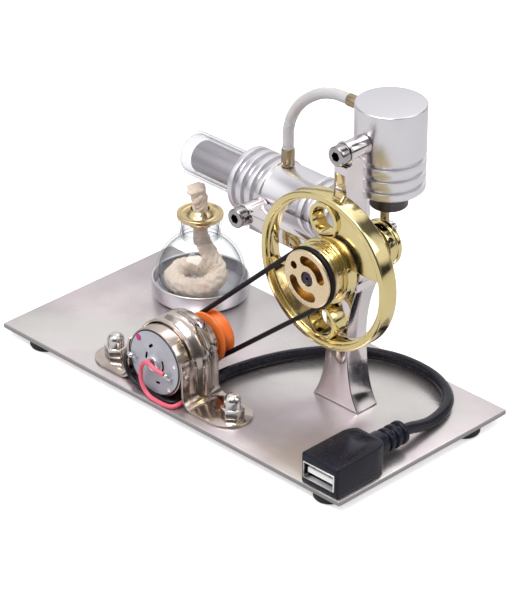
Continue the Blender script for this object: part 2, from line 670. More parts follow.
# ---------------------------------------------------------------- driving dimensions, mm
SHAFT_X, SHAFT_Z, SHAFT_R = 37.8, 52.8, 2.4
THROW, PIN_DEG, PIN_R = 3.2, 120.0, 1.5
PIN_X = SHAFT_X + THROW * math.cos(math.radians(PIN_DEG))
PIN_Z = SHAFT_Z + THROW * math.sin(math.radians(PIN_DEG))
STAND_Y0, STAND_Y1, BAR, HOUSING_R = 2.6, 12.2, 2.85, 9.6
BOSS_R, BOSS_Y0, TOP_BOSS_Z, ARM_BOSS_X = 3.4, 5.1, 92.2, -7.5
WHEEL_R, WHEEL_Y0, WHEEL_Y1 = 27.5, -5.5, 1.0
BELT_Y, BELT_R, BELT_R_WHEEL, BELT_R_MOTOR = -10.2, 0.85, 9.8, 8.0
POWER_X, POWER_Y, POWER_R, POWER_Z0, POWER_Z1, POWER_WRIST_Z = SHAFT_X, 26.0, 11.9, 72.2, 102.7, 71.6
COOL_Y, COOL_Z, COOL_X0, COOL_X1, COOL_R, DISP_WRIST_X = 25.0, SHAFT_Z, -24.5, 20.2, 11.7, 25.3
MOTOR_X, MOTOR_Z, MOTOR_R = -8.0, 12.6, 12.2
STRAP_Y0, STRAP_Y1, BOLT_DX, BOLT_Y = -36.3, -19.8, 28.0, -27.8
LAMP_X, LAMP_Y, USB_X = -47.9, 23.7, 71.1
GAP, RUN = 0.12, 0.3

# ---------------------------------------------------------------- base plate and feet
base_plate = bevel(box("base_plate", -80, 80, -40, 40, -PLATE_T, 0.0, PLATE), 0.5, 2)
STAND_SCREWS = ((SHAFT_X - 3.9, 7.4), (SHAFT_X + 3.3, 7.4))
for i, (x, y) in enumerate(STAND_SCREWS):
    boolean(base_plate, rod(f"cut_plate_stand_{i}", 1.7, -3.0, 1.0, "Z", (x, y, 0), 8, None, helper=True))
for i, sx in enumerate((-1, 1)):
    boolean(base_plate, rod(f"cut_plate_bolt_{i}", 2.1, -3.0, 1.0, "Z", (MOTOR_X + sx * BOLT_DX, BOLT_Y, 0), 8, None, helper=True))

for name, (x, y) in {"foot_front_left": (-64.5, -34.3), "foot_front_right": (70.4, -34.3), "foot_rear_left": (-66.0, 33.0), "foot_rear_right": (74.2, 25.6)}.items():
    outline = [(0, -5.0), (4.6, -5.0), (5.4, -4.2), (5.4, -PLATE_T - GAP), (0, -PLATE_T - GAP)]
    lathe(name, outline, "Z", (x, y, 0), 16, RUBBER, r=0.4)


# ---------------------------------------------------------------- stand
def half_width(z):
    return 4.3 + 6.0 * math.exp(-z / 8.5) + 4.5 * max(0.0, (z - 24.0) / 22.0) ** 2


leg_top = 46.0
left, right = [], []
for i in range(41):
    z = GAP + (leg_top - GAP) * (i / 40) ** 1.25
    left.append((SHAFT_X - 0.3 - half_width(z), z))
    right.append((SHAFT_X - 0.3 + half_width(z), z))
chord = math.degrees(math.asin(BAR / HOUSING_R))
ARM_END, COLUMN_END = ARM_BOSS_X + 4.3, TOP_BOSS_Z - 4.1


def fillet(a, b, c, r=1.3, n=6):
    """Soft inside corner at b between the runs from a and to c."""
    a, b, c = Vector(a), Vector(b), Vector(c)
    s, e = b + (a - b).normalized() * r, b + (c - b).normalized() * r
    return [tuple(s * (1 - k / n) ** 2 + b * 2 * (k / n) * (1 - k / n) + e * (k / n) ** 2) for k in range(n + 1)]


outline = list(left)
outline += arc(SHAFT_X, SHAFT_Z, HOUSING_R, 212, 180 + chord + 8, 2)
outline += [(SHAFT_X - HOUSING_R - 1.6, SHAFT_Z - BAR), (ARM_END, SHAFT_Z - BAR), (ARM_END, SHAFT_Z + BAR), (SHAFT_X - HOUSING_R - 1.6, SHAFT_Z + BAR)]
outline += arc(SHAFT_X, SHAFT_Z, HOUSING_R, 180 - chord - 8, 90 + chord + 8, 4)
outline += [(SHAFT_X - BAR, SHAFT_Z + HOUSING_R + 1.6), (SHAFT_X - BAR, COLUMN_END), (SHAFT_X + BAR, COLUMN_END), (SHAFT_X + BAR, SHAFT_Z + HOUSING_R + 1.6)]
outline += arc(SHAFT_X, SHAFT_Z, HOUSING_R, 90 - chord - 8, -32, 7)
outline += right[::-1]
stand = bevel(prism("stand", outline, "Y", STAND_Y0, STAND_Y1, CHROME), 0.32, 3, 65.0)
boolean(stand, bevel(box("add_top_link", SHAFT_X - BAR + 0.02, SHAFT_X + BAR - 0.02, BOSS_Y0 + 0.1, STAND_Y1 - 0.1, COLUMN_END - 2.0, TOP_BOSS_Z, CHROME, True), 0.3), "UNION")
boolean(stand, bevel(box("add_arm_link", ARM_BOSS_X, ARM_END + 2.0, BOSS_Y0 + 0.1, STAND_Y1 - 0.1, SHAFT_Z - BAR + 0.02, SHAFT_Z + BAR - 0.02, CHROME, True), 0.3), "UNION")
boolean(stand, rod("add_top_boss", BOSS_R, BOSS_Y0, 13.8, "Y", (SHAFT_X, 0, TOP_BOSS_Z), 16, CHROME, 0.3, True), "UNION")
boolean(stand, rod("add_arm_boss", BOSS_R, BOSS_Y0, 13.2, "Y", (ARM_BOSS_X, 0, SHAFT_Z), 16, CHROME, 0.3, True), "UNION")
boolean(stand, rod("cut_top_bore", 2.0, 0.0, 16.0, "Y", (SHAFT_X, 0, TOP_BOSS_Z), 12, None, helper=True))
boolean(stand, rod("cut_arm_bore", 2.0, 0.0, 16.0, "Y", (ARM_BOSS_X, 0, SHAFT_Z), 12, None, helper=True))
bore = [(0, 0.0), (5.12, 0.0), (5.12, 5.72), (3.3, 5.72), (3.3, 9.08), (5.12, 9.08), (5.12, 14.0), (0, 14.0)]
boolean(stand, lathe("cut_bearing_bore", bore, "Y", (SHAFT_X, 0, SHAFT_Z), 24, None, helper=True))
for i, (x, y) in enumerate(STAND_SCREWS):
    boolean(stand, rod(f"cut_stand_screw_{i}", 1.6, -1.0, 6.0, "Z", (x, y, 0), 8, None, helper=True))
boolean(stand, bevel(box("cut_panel_column", SHAFT_X - 2.2, SHAFT_X + 2.2, 1.0, STAND_Y0 + 0.7, 79.9, 85.2, None, True), 0.25))
boolean(stand, bevel(box("cut_panel_arm", 14.8, 19.8, 1.0, STAND_Y0 + 0.7, SHAFT_Z - 2.2, SHAFT_Z + 2.2, None, True), 0.25))

for i, (x, y) in enumerate(STAND_SCREWS):
    outline = [(0, -3.9), (2.5, -3.9), (2.9, -3.3), (2.9, -2.12), (1.45, -2.12), (1.45, 5.2), (0, 5.2)]
    s = lathe(f"stand_screw_{i + 1}", outline, "Z", (x, y, 0), 8, STEEL)
    for k, (dx, dy) in enumerate(((2.0, 0.3), (0.3, 2.0))):
        boolean(s, box(f"cut_cross_{i}_{k}", x - dx, x + dx, y - dy, y + dy, -4.5, -2.9, None, True))


def bearing(name, h0, h1):
    """Ball bearing: two polished rings with a sunk shield between them."""
    half = [(2.72, h0), (3.35, h0), (3.45, h0 + 0.18), (4.35, h0 + 0.18), (4.45, h0), (5.0, h0)]
    return lathe(name, half + [(r, h0 + h1 - h) for r, h in half[::-1]], "Y", (SHAFT_X, 0, SHAFT_Z), 16, STEEL, r=0.06)


bearing("bearing_front", STAND_Y0 + 0.1, 5.6)
bearing("bearing_rear", 9.2, STAND_Y1 - 0.1)

# ---------------------------------------------------------------- crank
AXIS = (SHAFT_X, 0, SHAFT_Z)
crankshaft = rod("crankshaft", SHAFT_R, -11.9, 20.4, "Y", AXIS, 16, SHAFT, 0.3)
boolean(crankshaft, rod("cut_centre_drill", 0.55, -12.5, -11.3, "Y", AXIS, 8, None, helper=True))

rim = [
    (WHEEL_R - 0.4, WHEEL_Y0), (25.5, WHEEL_Y0), (25.3, WHEEL_Y0 + 0.2), (25.3, -4.3), (24.5, -4.3), (24.5, -0.2),
    (25.3, -0.2), (25.3, WHEEL_Y1), (WHEEL_R - 0.4, WHEEL_Y1), (WHEEL_R, WHEEL_Y1 - 0.4), (WHEEL_R, WHEEL_Y0 + 0.4),
]
flywheel = lathe("flywheel", rim, "Y", AXIS, 44, GOLD, r=0.22)
WEB_Y0, WEB_Y1, CHORD = -4.0, -0.9, 4.6
EYE_R, EYE_C, EYE_HOLE = 6.1, 18.7, 4.7


def web_sector(name, turn):
    r_out, r_in = 24.9, 10.0
    a_out, a_in = math.degrees(math.asin(CHORD / r_out)), math.degrees(math.asin(CHORD / r_in))
    pts = arc(0, 0, r_out, a_out, 92, 9) + arc(0, 0, r_in, 100, a_in, 5)
    c, s = math.cos(math.radians(turn)), math.sin(math.radians(turn))
    pts = [(SHAFT_X + c * x - s * y, SHAFT_Z + s * x + c * y) for x, y in pts]
    return prism(name, pts, "Y", WEB_Y0, WEB_Y1, GOLD, True)


boolean(flywheel, bevel(web_sector("add_web_upper", 0), 0.18, 2), "UNION")
boolean(flywheel, bevel(web_sector("add_web_lower", 180), 0.18, 2), "UNION")
hub = [(2.52, -6.9), (9.2, -6.9), (9.5, -6.6), (9.5, -5.5), (10.4, -5.5), (10.4, -4.7), (11.2, -4.7), (11.2, -0.5), (7.0, -0.5), (7.0, 1.2), (2.52, 1.2)]
boolean(flywheel, lathe("add_hub", hub, "Y", AXIS, 24, GOLD, helper=True), "UNION")
for i, sz in enumerate((1, -1)):
    at = (SHAFT_X, 0, SHAFT_Z + sz * EYE_C)
    boolean(flywheel, rod(f"add_eye_{i}", EYE_R, -5.1, 0.3, "Y", at, 20, GOLD, helper=True), "UNION")
    boolean(flywheel, rod(f"cut_eye_{i}", EYE_HOLE, -8.0, 3.0, "Y", at, 20, None, helper=True))

pulley = [(2.52, -12.2), (9.8, -12.2), (10.0, -12.0), (10.0, -11.5), (8.65, -11.0), (8.65, -9.4), (10.0, -8.9), (10.0, -7.5), (9.6, -7.1), (2.52, -7.1)]
drive_pulley = lathe("drive_pulley", pulley, "Y", AXIS, 30, PEACH)


def face_slot(name, d0, d1, r0, r1, depth):
    """Curved pocket with round ends in the pulley's face."""
    mid, rr = (r0 + r1) / 2, (r1 - r0) / 2
    t0, t1 = math.radians(d0), math.radians(d1)
    lift = math.degrees(rr / mid)
    a, b = math.radians(d0 + lift), math.radians(d1 - lift)
    end1 = arc(SHAFT_X + mid * math.cos(b), SHAFT_Z + mid * math.sin(b), rr, d1 - lift, d1 - lift + 180, 3)
    end0 = arc(SHAFT_X + mid * math.cos(a), SHAFT_Z + mid * math.sin(a), rr, d0 + lift + 180, d0 + lift + 360, 3)
    pts = arc(SHAFT_X, SHAFT_Z, r1, d0 + lift, d1 - lift, 8) + end1[1:-1] + arc(SHAFT_X, SHAFT_Z, r0, d1 - lift, d0 + lift, 6) + end0[1:-1]
    return prism(name, pts, "Y", -13.5, -12.2 + depth, None, True)


boolean(drive_pulley, face_slot("cut_slot_upper", 2, 118, 4.6, 8.0, 1.9), paint=POCKET)
boolean(drive_pulley, face_slot("cut_slot_lower", 186, 306, 4.6, 8.0, 1.9), paint=POCKET)
hole = (SHAFT_X + 6.5 * math.cos(math.radians(152)), 0, SHAFT_Z + 6.5 * math.sin(math.radians(152)))
boolean(drive_pulley, rod("cut_pulley_hole", 1.35, -13.5, -9.8, "Y", hole, 8, None, helper=True), paint=POCKET)

disc = [(2.52, 12.65), (4.4, 12.65), (4.7, 12.9), (4.7, 17.8), (7.2, 17.8), (7.2, 18.6), (8.25, 18.6), (8.25, 21.5), (7.75, 21.75), (7.75, 22.2), (8.25, 22.45), (8.25, 23.9), (7.9, 24.3), (0, 24.3), (0, 20.55), (2.52, 20.55)]
crank_disc = lathe("crank_disc", disc, "Y", AXIS, 24, GOLD)
PIN = (PIN_X, 0, PIN_Z)
boolean(crank_disc, rod("cut_pin_bore", PIN_R + GAP, 21.3, 26.0, "Y", PIN, 8, None, helper=True))
SET_DEG = 32.0


def radial_rod(name, r, d0, d1, y, deg, seg, mat, helper=False):
    c, s = math.cos(math.radians(deg)), math.sin(math.radians(deg))
    return sweep(name, [(SHAFT_X + c * d0, y, SHAFT_Z + s * d0), (SHAFT_X + c * d1, y, SHAFT_Z + s * d1)], r, seg, mat, helper=helper)


boolean(crank_disc, radial_rod("cut_set_screw", 1.25, 2.0, 10.0, 19.9, SET_DEG, 8, None, True))
set_screw = radial_rod("crank_set_screw", 1.1, 2.75, 7.3, 19.9, SET_DEG, 8, DARK_STEEL)
boolean(set_screw, radial_rod("cut_set_socket", 0.5, 6.0, 8.0, 19.9, SET_DEG, 2, None, True))
pin = [(0, 21.4), (PIN_R, 21.4), (PIN_R, 24.42), (2.1, 24.42), (2.1, 24.8), (PIN_R, 24.8), (PIN_R, 29.2), (2.0, 29.2), (2.0, 30.1), (0, 30.1)]
crank_pin = lathe("crank_pin", pin, "Y", PIN, 12, STEEL)
boolean(crank_pin, box("cut_pin_slot", PIN_X - 3, PIN_X + 3, 29.7, 31.0, PIN_Z - 0.3, PIN_Z + 0.3, None, True))


# ---------------------------------------------------------------- connecting rods
def link(name, a, b, ra, rb, wa, wb, ha, hb, y0, y1, mat):
    ax, az = a
    bx, bz = b
    d = Vector((bx - ax, bz - az)).normalized()
    n = Vector((-d.y, d.x))
    pts = [(ax + n.x * wa, az + n.y * wa), (ax - n.x * wa, az - n.y * wa), (bx - n.x * wb, bz - n.y * wb), (bx + n.x * wb, bz + n.y * wb)]
    body = rod(name, ra, y0, y1, "Y", (ax, 0, az), 16, mat)
    boolean(body, bevel(prism(name + "_shank", pts, "Y", y0 + 0.02, y1 - 0.02, mat, True), 0.16, 2), "UNION")
    boolean(body, rod(name + "_small_end", rb, y0, y1, "Y", (bx, 0, bz), 12, mat, helper=True), "UNION")
    boolean(body, rod("cut_" + name + "_big", ha, y0 - 1, y1 + 1, "Y", (ax, 0, az), 12, None, helper=True))
    boolean(body, rod("cut_" + name + "_small", hb, y0 - 1, y1 + 1, "Y", (bx, 0, bz), 8, None, helper=True))
    return body


link("power_conrod", (PIN_X, PIN_Z), (PIN_X, POWER_WRIST_Z), 2.6, 1.6, 1.25, 1.5, PIN_R + RUN, 1.0, 25.1, 26.9, BRASS)
rod("power_wrist_pin", 0.88, 24.95, 27.2, "Y", (PIN_X, 0, POWER_WRIST_Z), 8, STEEL)
link("displacer_conrod", (PIN_X, PIN_Z), (DISP_WRIST_X, SHAFT_Z), 2.6, 1.7, 1.1, 0.9, PIN_R + RUN, 1.0, 27.3, 28.9, STEEL)
rod("displacer_wrist_pin", 0.88, 26.95, 29.4, "Y", (DISP_WRIST_X, 0, SHAFT_Z), 8, STEEL)

# ---------------------------------------------------------------- power cylinder
PW = (POWER_X, POWER_Y, 0)
z1 = POWER_Z1
outer = [(0, z1), (POWER_R - 0.3, z1), (POWER_R, z1 - 0.3)]
for g in (17.2, 21.6, 25.9):
    outer += [(POWER_R, z1 - g), (POWER_R - 1.1, z1 - g - 0.25), (POWER_R - 1.1, z1 - g - 1.45), (POWER_R, z1 - g - 1.7)]
outer += [(POWER_R, POWER_Z0 + 0.8), (POWER_R - 0.8, POWER_Z0), (6.52, POWER_Z0), (6.52, 88.2), (1.6, 88.2), (1.6, 97.3), (0, 97.3)]
power_cylinder = lathe("power_cylinder", outer, "Z", PW, 30, ALU)
NIPPLE_Z = 97.3
boolean(power_cylinder, rod("cut_power_port", 1.52, POWER_X - 16, POWER_X - 0.4, "X", (0, POWER_Y, NIPPLE_Z), 8, None, helper=True))
boolean(power_cylinder, rod("cut_power_mount", 2.0, 10.0, 19.6, "Y", (POWER_X, 0, TOP_BOSS_Z), 8, None, helper=True))
lathe("power_liner", [(5.4, 65.9), (6.0, 65.9), (6.4, 66.3), (6.4, 88.0), (5.4, 88.0)], "Z", PW, 24, LINER)
power_piston = rod("power_piston", 5.1, 80.0, 86.5, "Z", PW, 24, STEEL, 0.3)
boolean(power_piston, bevel(box("add_piston_lug", POWER_X - 1.7, POWER_X + 1.7, 27.5, 29.2, POWER_WRIST_Z - 1.6, 81.0, STEEL, True), 0.2), "UNION")
nipple = [(0.5, 0.0), (1.4, 0.0), (1.4, 4.4), (2.2, 4.4), (2.2, 10.6), (0.8, 10.6), (0.8, 12.4), (0.5, 12.4)]
lathe("nipple_power", [(r, POWER_X - 7.8 - h) for r, h in nipple], "X", (0, POWER_Y, NIPPLE_Z), 12, BRASS)

# ---------------------------------------------------------------- displacer cylinder
CL = (0, COOL_Y, COOL_Z)
outer = [(7.97, COOL_X0), (COOL_R - 0.3, COOL_X0), (COOL_R, COOL_X0 + 0.3)]
x = COOL_X0
for k in range(3):
    outer += [(COOL_R, x + 2.3), (COOL_R - 1.7, x + 2.5), (COOL_R - 1.7, x + 4.0), (COOL_R, x + 4.2)]
    x += 4.2
outer += [(COOL_R, x + 2.1), (COOL_R - 0.5, x + 2.6)]
x = 7.6
outer += [(COOL_R - 0.5, x - 0.5), (COOL_R, x)]
for k in range(3):
    outer += [(COOL_R, x + 2.1), (COOL_R - 1.7, x + 2.3), (COOL_R - 1.7, x + 3.7), (COOL_R, x + 3.9)]
    x += 3.9
outer += [(COOL_R, COOL_X1 - 0.3), (COOL_R - 0.3, COOL_X1), (3.6, COOL_X1), (3.6, 12.6), (2.0, 12.6), (2.0, -4.5), (6.1, -4.5), (6.1, -11.6), (7.97, -11.6)]
cooler = lathe("cooler_body", outer, "X", CL, 30, ALU)
boolean(cooler, rod("cut_cooler_port", 1.52, 57.5, 68.0, "Z", (-7.1, COOL_Y, 0), 8, None, helper=True))
boolean(cooler, rod("cut_cooler_mount", 2.0, 10.0, 17.4, "Y", (ARM_BOSS_X, 0, SHAFT_Z), 8, None, helper=True))


def closed_end(r, x_end, corner, n):
    return [(r - corner + corner * math.cos(math.radians(90 * i / n)), x_end + corner - corner * math.sin(math.radians(90 * i / n))) for i in range(n + 1)]


glass = [(7.85, -13.2)] + closed_end(7.85, -53.4, 2.0, 10) + [(0, -53.4), (0, -52.5)] + closed_end(6.95, -52.5, 1.3, 10)[::-1] + [(6.95, -13.2)]
lathe("hot_glass_tube", glass, "X", CL, 30, HOT_GLASS)
ring("tube_gasket", 6.3, 7.8, -13.05, -11.75, "X", CL, 24, RUBBER)
displacer = rod("displacer", 5.7, -48.3, -18.0, "X", CL, 24, DISPLACER, 0.5)
boolean(displacer, rod("cut_displacer_rod", 1.12, -21.0, -10.0, "X", CL, 8, None, helper=True))
displacer_rod = rod("displacer_rod", 1.0, -20.8, 24.6, "X", CL, 8, STEEL)
boolean(displacer_rod, bevel(box("add_rod_eye", 23.9, 26.9, 24.7, 26.6, SHAFT_Z - 1.6, SHAFT_Z + 1.6, STEEL, True), 0.25), "UNION")
bush = [(1.3, 12.75), (3.48, 12.75), (3.48, COOL_X1 + 0.1), (5.0, COOL_X1 + 0.1), (5.0, COOL_X1 + 0.9), (4.7, COOL_X1 + 1.2), (1.3, COOL_X1 + 1.2)]
lathe("rod_guide_bush", bush, "X", CL, 16, BRASS)
lathe("nipple_cooler", [(r, 59.6 + h) for r, h in [(0.5, 0.0), (1.4, 0.0), (1.4, 4.7), (2.3, 4.7), (2.3, 10.7), (0.8, 10.7), (0.8, 12.6), (0.5, 12.6)]], "Z", (-7.1, COOL_Y, 0), 12, BRASS)
hose_path = spline(
    [(-7.1, COOL_Y, 70.45), (-7.1, COOL_Y, 73.4), (-6.9, COOL_Y, 78.2), (-5.1, 25.2, 83.9), (-0.8, 25.4, 89.8), (6.0, 25.7, 94.8), (12.0, 25.9, 96.9), (16.4, POWER_Y, NIPPLE_Z), (19.25, POWER_Y, NIPPLE_Z)],
    8,
)
sweep("air_hose", hose_path, 1.95, 10, SILICONE, inner=1.2)


def cap_screw(name, x, z, y_tip):
    outline = [(0, 0.3), (3.1, 0.3), (3.4, 0.6), (3.4, 4.1), (1.75, 4.1), (1.75, y_tip), (0, y_tip)]
    s = lathe(name, outline, "Y", (x, 0, z), 16, SCREW)
    return boolean(s, prism("cut_" + name + "_socket", polygon(x, z, 1.75, 0, 6), "Y", -1.0, 2.4, None, True), paint=SOCKET)


cap_screw("cylinder_screw", SHAFT_X, TOP_BOSS_Z, 19.4)
cap_screw("cooler_screw", ARM_BOSS_X, SHAFT_Z, 17.2)
ring("cylinder_washer", 2.0, 3.9, 4.25, 4.95, "Y", (SHAFT_X, 0, TOP_BOSS_Z), 16, STEEL, 0.15)
ring("cooler_washer", 2.0, 3.9, 4.25, 4.95, "Y", (ARM_BOSS_X, 0, SHAFT_Z), 16, STEEL, 0.15)

# ---------------------------------------------------------------- generator motor
MT = (MOTOR_X, 0, MOTOR_Z)
can = [
    (11.5, -36.2), (MOTOR_R, -36.2), (MOTOR_R, -21.6), (MOTOR_R - 0.7, -20.9), (7.4, -20.9), (7.4, -13.7), (7.0, -13.3), (1.35, -13.3),
    (1.35, -22.0), (11.5, -22.0),
]
lathe("motor_can", can, "Y", MT, 30, CLAMP, r=0.3)
end_plate = [(1.35, -36.45), (2.3, -37.3), (2.8, -37.3), (3.0, -36.45), (11.2, -36.45), (11.38, -36.3), (11.38, -34.9), (1.35, -34.9)]
motor_end = lathe("motor_end_plate", end_plate, "Y", MT, 30, GREY, r=0.12)
for i, (dx, dz, w) in enumerate(((7.3, -2.5, 1.7), (-9.0, -0.7, 1.2))):
    tab = bevel(box(f"add_terminal_{i}", MOTOR_X + dx - w, MOTOR_X + dx + w, -38.0, -35.5, MOTOR_Z + dz - 0.3, MOTOR_Z + dz + 0.3, SOLDER, True), 0.08, 2)
    boolean(motor_end, tab, "UNION", SOLDER)


def plate_hole(name, pts, depth):
    boolean(motor_end, prism("cut_" + name, [(MOTOR_X + x, MOTOR_Z + z) for x, z in pts], "Y", -38.5, -36.45 + depth, None, True), paint=SLOTBLACK)


def long_slot(x0, z0, x1, z1, w):
    """Outline of a straight slot with round ends."""
    a = math.degrees(math.atan2(z1 - z0, x1 - x0))
    return arc(x1, z1, w, a - 90, a + 90, 2) + arc(x0, z0, w, a + 90, a + 270, 2)


plate_hole("slot_small_top", long_slot(-2.1, 5.4, -1.1, 6.3, 0.5), 1.0)
plate_hole("slot_left", long_slot(-3.9, 0.6, -3.5, 2.5, 0.42), 1.0)
plate_hole("slot_right", arc(0, 0, 4.6, -26, 30, 3) + arc(0, 0, 3.8, 30, -26, 3), 1.0)
plate_hole("slot_bottom", long_slot(1.2, -6.9, 2.2, -6.7, 0.42), 1.0)
for i, (dx, dz) in enumerate(((-9.4, -2.8), (9.3, 2.3), (6.7, -7.6))):
    boolean(motor_end, rod(f"cut_dimple_{i}", 0.75, -38.0, -36.2, "Y", (MOTOR_X + dx, 0, MOTOR_Z + dz), 6, None, helper=True), paint=DIMPLE)
rod("motor_armature", 9.2, -33.6, -23.4, "Y", MT, 16, COPPER, 0.6)
boolean(PIECES["motor_armature"], rod("cut_armature_bore", 1.12, -36.0, -20.0, "Y", MT, 8, None, helper=True))
rod("motor_shaft", 1.0, -36.0, -7.2, "Y", MT, 8, STEEL, 0.15)
wheel = [(1.12, -12.85), (8.9, -12.85), (9.1, -12.65), (9.1, -12.1), (6.85, -10.75), (6.85, -9.65), (8.7, -8.3), (8.7, -7.75), (8.5, -7.55), (1.12, -7.55)]
lathe("motor_pulley", wheel, "Y", MT, 30, ORANGE, r=0.25)

# ---------------------------------------------------------------- omega strap
T, R_IN, R_OUT, BEND, tip = 0.85, 12.5, 13.35, 4.0, 34.5
z_low, z_top = GAP, GAP + 0.85


def strap_half(sx):
    cx, cz = R_OUT + BEND, z_top + BEND
    upper = arc(cx, cz, BEND, 270, 180, 5)
    lower = arc(cx, cz, BEND + T, 180, 270, 5)
    pts = [(tip, z_low), (tip, z_top)] + upper + [(R_OUT, MOTOR_Z + 0.4), (R_IN, MOTOR_Z + 0.4)] + lower
    return [(MOTOR_X + sx * x, z) for x, z in pts]


RIDGE_KNOTS = [(-30.6, 0.04), (-29.9, 0.28), (-29.1, 0.82), (-28.1, 1.42), (-27.0, 1.72), (-25.9, 1.72), (-24.8, 1.42), (-23.8, 0.82), (-23.0, 0.28), (-22.3, 0.04)]
RIDGE = spline(RIDGE_KNOTS, 4)
arch = [(R_IN, -31.2), (R_OUT, -31.2), (R_OUT, STRAP_Y1), (R_IN, STRAP_Y1)]
motor_clamp = lathe("motor_clamp", arch, "Y", MT, 30, CLAMP, -1.5, 181.5, r=0.36)
cheek = [(R_IN + 0.02, STRAP_Y0), (R_OUT - 0.02, STRAP_Y0), (R_OUT - 0.02, -30.9), (R_IN + 0.02, -30.9)]
boolean(motor_clamp, lathe("add_cheek_right", cheek, "Y", MT, 30, CLAMP, -1.0, 19.0, True, r=0.1), "UNION")
boolean(motor_clamp, lathe("add_cheek_left", cheek, "Y", MT, 30, CLAMP, 161.0, 181.0, True, r=0.1), "UNION")
ridge = [(R_OUT - 0.35, RIDGE[0][0])] + [(R_OUT + h, y) for y, h in RIDGE] + [(R_OUT - 0.35, RIDGE[-1][0])]
boolean(motor_clamp, lathe("add_ridge_arch", ridge, "Y", MT, 30, CLAMP, -0.5, 99.0, True, r=0), "UNION")
for sx, side in ((1, "right"), (-1, "left")):
    leg = prism(f"add_leg_{side}", strap_half(sx), "Y", STRAP_Y0, STRAP_Y1, CLAMP, True)
    tx, ty, tr = MOTOR_X + sx * (tip - 8.25), (STRAP_Y0 + STRAP_Y1) / 2, (STRAP_Y1 - STRAP_Y0) / 2 + 0.01
    corner = arc(tx, ty, tr, 90, -90, 10) if sx > 0 else arc(tx, ty, tr, 90, 270, 10)
    corner += [(MOTOR_X + sx * 12.0, ty - tr), (MOTOR_X + sx * 12.0, ty + tr)]
    boolean(leg, prism(f"trim_leg_{side}", corner, "Z", -2.0, 20.0, CLAMP, True), "INTERSECT")
    bevel(leg, 0.1, 2)
    boolean(motor_clamp, leg, "UNION")
    boolean(motor_clamp, rod(f"cut_bolt_{side}", 2.1, -2.0, 3.0, "Z", (MOTOR_X + sx * BOLT_DX, BOLT_Y, 0), 8, None, helper=True))
rib = [(MOTOR_X + R_OUT - 0.35, RIDGE[0][0])] + [(MOTOR_X + R_OUT + h, y) for y, h in RIDGE] + [(MOTOR_X + R_OUT - 0.35, RIDGE[-1][0])]
boolean(motor_clamp, prism("add_ridge_leg", rib, "Z", 2.6, MOTOR_Z + 0.3, CLAMP, True), "UNION")

for sx, side in ((1, "right"), (-1, "left")):
    at = (MOTOR_X + sx * BOLT_DX, BOLT_Y, 0)
    bolt = [(0, -4.3), (3.0, -4.3), (3.4, -3.9), (3.4, -2.12), (1.95, -2.12), (1.95, 5.2), (0, 5.2)]
    b = lathe(f"clamp_bolt_{side}", bolt, "Z", at, 12, STEEL)
    boolean(b, box(f"cut_slot_bolt_{side}", at[0] - 4, at[0] + 4, at[1] - 0.4, at[1] + 0.4, -5.0, -3.4, None, True))
    base = z_top + GAP
    nut = bevel(prism(f"cap_nut_{side}", polygon(at[0], at[1], 4.04, 38, 6), "Z", base, base + 3.2, STEEL), 0.22, 2)
    dome = [(0, base + 2.8), (2.95, base + 2.8), (2.95, base + 5.3)]
    dome += [(0.5 + 2.45 * math.cos(math.radians(a)), base + 5.3 + 2.6 * math.sin(math.radians(a))) for a in range(8, 88, 8)] + [(0, base + 8.0)]
    boolean(nut, lathe(f"add_dome_{side}", dome, "Z", at, 16, STEEL, helper=True, r=0.1), "UNION")
    boolean(nut, rod(f"cut_nut_{side}", 2.07, base - 1.0, base + 5.0, "Z", at, 8, None, helper=True))

# ---------------------------------------------------------------- drive belt
mx, mz = MOTOR_X - SHAFT_X, MOTOR_Z - SHAFT_Z
span = math.hypot(mx, mz)
base_angle = math.degrees(math.atan2(mz, mx))
wrap = math.degrees(math.acos((BELT_R_WHEEL - BELT_R_MOTOR) / span))
loop = arc(SHAFT_X, SHAFT_Z, BELT_R_WHEEL, base_angle + wrap, base_angle + 360 - wrap, 14)
loop += arc(MOTOR_X, MOTOR_Z, BELT_R_MOTOR, base_angle - wrap, base_angle + wrap, 10)
sweep("drive_belt", [(x, BELT_Y, z) for x, z in loop], BELT_R, 6, BELT_RUBBER, closed=True)

# ---------------------------------------------------------------- outlet lead
cable_path = spline(
    [
        (USB_X, -13.5, 5.7), (USB_X, -6.0, 5.7), (USB_X, -1.2, 5.7), (71.0, 3.0, 5.0), (70.8, 7.4, 3.7), (70.3, 12.8, 2.5), (69.2, 18.8, 2.15), (67.3, 24.0, 2.15), (64.2, 28.6, 2.15),
        (59.2, 32.6, 2.15), (52.0, 35.7, 2.15), (44.0, 36.8, 2.15), (35.7, 36.1, 2.15), (27.6, 33.2, 2.15), (19.7, 27.9, 2.15), (13.0, 20.6, 2.15), (7.5, 11.6, 2.15),
        (3.6, 1.8, 2.15), (1.2, -8.6, 2.15), (0.7, -14.0, 2.15), (0.9, -18.2, 2.15),
    ],
    8,
)
sweep("usb_cable", cable_path, 2.0, 10, CABLE)

